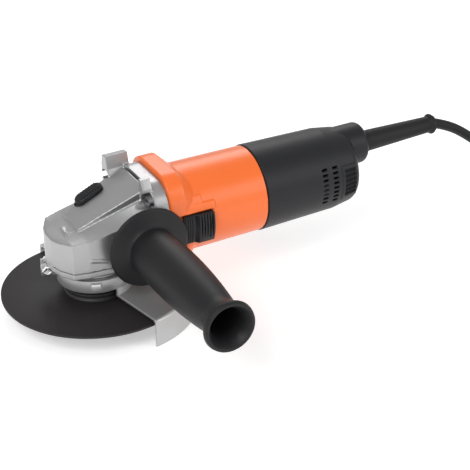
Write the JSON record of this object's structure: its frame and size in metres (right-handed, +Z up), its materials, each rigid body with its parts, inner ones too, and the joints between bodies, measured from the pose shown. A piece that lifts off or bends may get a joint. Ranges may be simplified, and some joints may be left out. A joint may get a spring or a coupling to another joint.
{
  "type": "angle grinder",
  "caption": "Corded angle grinder with a cast gear head, side handle, half-round disc guard, cutting disc, slide switch and a lead wound in a tied coil.",
  "frame": {"origin": "centre of the spindle's free end", "axes": "+X back along the motor axis to the cord, +Z up along the spindle axis to the top of the gear case, side handle towards -Y"},
  "size_m": [0.5029, 0.2535, 0.0965],
  "materials": {
    "cast_case": "satin silver paint over die-cast aluminium",
    "screw_steel": "zinc-plated cross-head screws",
    "chrome_screw": "bright plated",
    "bearing_steel": "ground bearing steel",
    "seal_rubber": "matt moulded rubber",
    "cord_rubber": "satin rubber sheath",
    "spring_steel": "bright spring wire",
    "core_steel": "varnished lamination stack",
    "shaft_steel": "ground steel",
    "gear_steel": "sintered steel with grease",
    "copper_wire": "enamelled copper wire",
    "copper_bars": "turned copper",
    "dark_plastic": "fine moulded texture",
    "handle_plastic": "fine moulded texture",
    "brass_sheet": "stamped brass",
    "pin_brass": "plated brass",
    "orange_plastic": "satin moulded plastic",
    "capacitor_plastic": "moulded case",
    "zinc_steel": "zinc plated",
    "button_plastic": "matt moulded plastic, finely ribbed",
    "guard_steel": "pressed sheet steel, satin",
    "flange_steel": "turned and blackened steel",
    "disc_steel": "blackened steel blank with a sintered rim",
    "brush_carbon": "pressed carbon",
    "tie_plastic": "hook tape"
  },
  "bodies": {
    "root": {"gear_case": "cast_case", "bearing_cover": "cast_case", "cover_screws": "screw_steel", "case_screws": "screw_steel", "spindle_bearing": "bearing_steel", "front_bearing": "bearing_steel", "rear_bearing": "bearing_steel", "needle_bearing": "bearing_steel", "dust_seal": "seal_rubber", "rear_bearing_sleeve": "seal_rubber", "lock_spring": "spring_steel", "field_core": "core_steel", "field_windings": "copper_wire", "air_baffle": "dark_plastic", "brush_holders": "brass_sheet", "upper_brush_spring": "spring_steel", "lower_brush_spring": "spring_steel", "motor_housing": "orange_plastic", "rear_housing": "dark_plastic", "switch_unit": "dark_plastic", "suppressor_capacitor": "capacitor_plastic", "cord_clamp": "dark_plastic", "clamped_lead": "cord_rubber", "clamp_base": "dark_plastic", "clamp_screws": "screw_steel", "strain_relief": "cord_rubber", "side_handle": "handle_plastic", "handle_stud": "zinc_steel", "supply_cord": "cord_rubber", "cord_tail": "cord_rubber", "cord_coil": "cord_rubber", "cord_tie": "tie_plastic", "plug_body": "cord_rubber", "plug_pins": "pin_brass"},
    "armature": {"armature_shaft": "shaft_steel", "pinion_nut": "screw_steel", "armature_core": "core_steel", "armature_windings": "copper_wire", "commutator": "copper_bars", "fan": "dark_plastic", "pinion": "gear_steel"},
    "spindle": {"spindle": "shaft_steel", "crown_gear": "gear_steel", "inner_flange": "flange_steel", "cutting_disc": "disc_steel", "lock_nut": "flange_steel"},
    "spindle_lock": {"lock_button": "button_plastic", "lock_pin": "shaft_steel"},
    "guard": {"guard_cover": "guard_steel", "guard_band": "guard_steel", "guard_screw": "chrome_screw", "guard_nut": "screw_steel"},
    "slide_switch": {"slide_button": "dark_plastic", "switch_rod": "dark_plastic"},
    "upper_brush": {"upper_brush": "brush_carbon"},
    "lower_brush": {"lower_brush": "brush_carbon"}
  },
  "joints": [
    {"name": "armature_spin", "type": "hinge", "parent": "root", "child": "armature", "pos_m": [0.1, 0, 0.056], "axis": [1, 0, 0], "continuous": true},
    {"name": "spindle_spin", "type": "hinge", "parent": "root", "child": "spindle", "pos_m": [0, 0, 0], "axis": [0, 0, 1], "continuous": true},
    {"name": "guard_turn", "type": "hinge", "parent": "root", "child": "guard", "pos_m": [0, 0, 0.025], "axis": [0, 0, 1], "range_deg": [-90, 90]},
    {"name": "switch_slide", "type": "slide", "parent": "root", "child": "slide_switch", "axis": [-1, 0, 0], "range_m": [0, 0.006]},
    {"name": "lock_press", "type": "slide", "parent": "root", "child": "spindle_lock", "axis": [0, 0, -1], "range_m": [0, 0.004], "stiffness_N_per_m": 900, "springref_m": -0.003, "deforming": ["lock_spring"]},
    {"name": "upper_brush_lift", "type": "slide", "parent": "root", "child": "upper_brush", "axis": [0, 0, 1], "range_m": [0, 0.0025], "stiffness_N_per_m": 400, "springref_m": -0.005, "deforming": ["upper_brush_spring"]},
    {"name": "lower_brush_lift", "type": "slide", "parent": "root", "child": "lower_brush", "axis": [0, 0, -1], "range_m": [0, 0.0025], "stiffness_N_per_m": 400, "springref_m": -0.005, "deforming": ["lower_brush_spring"]}
  ],
  "couplings": [
    {"joint": "spindle_spin", "follows": "armature_spin", "ratio": 0.31579}
  ]
}
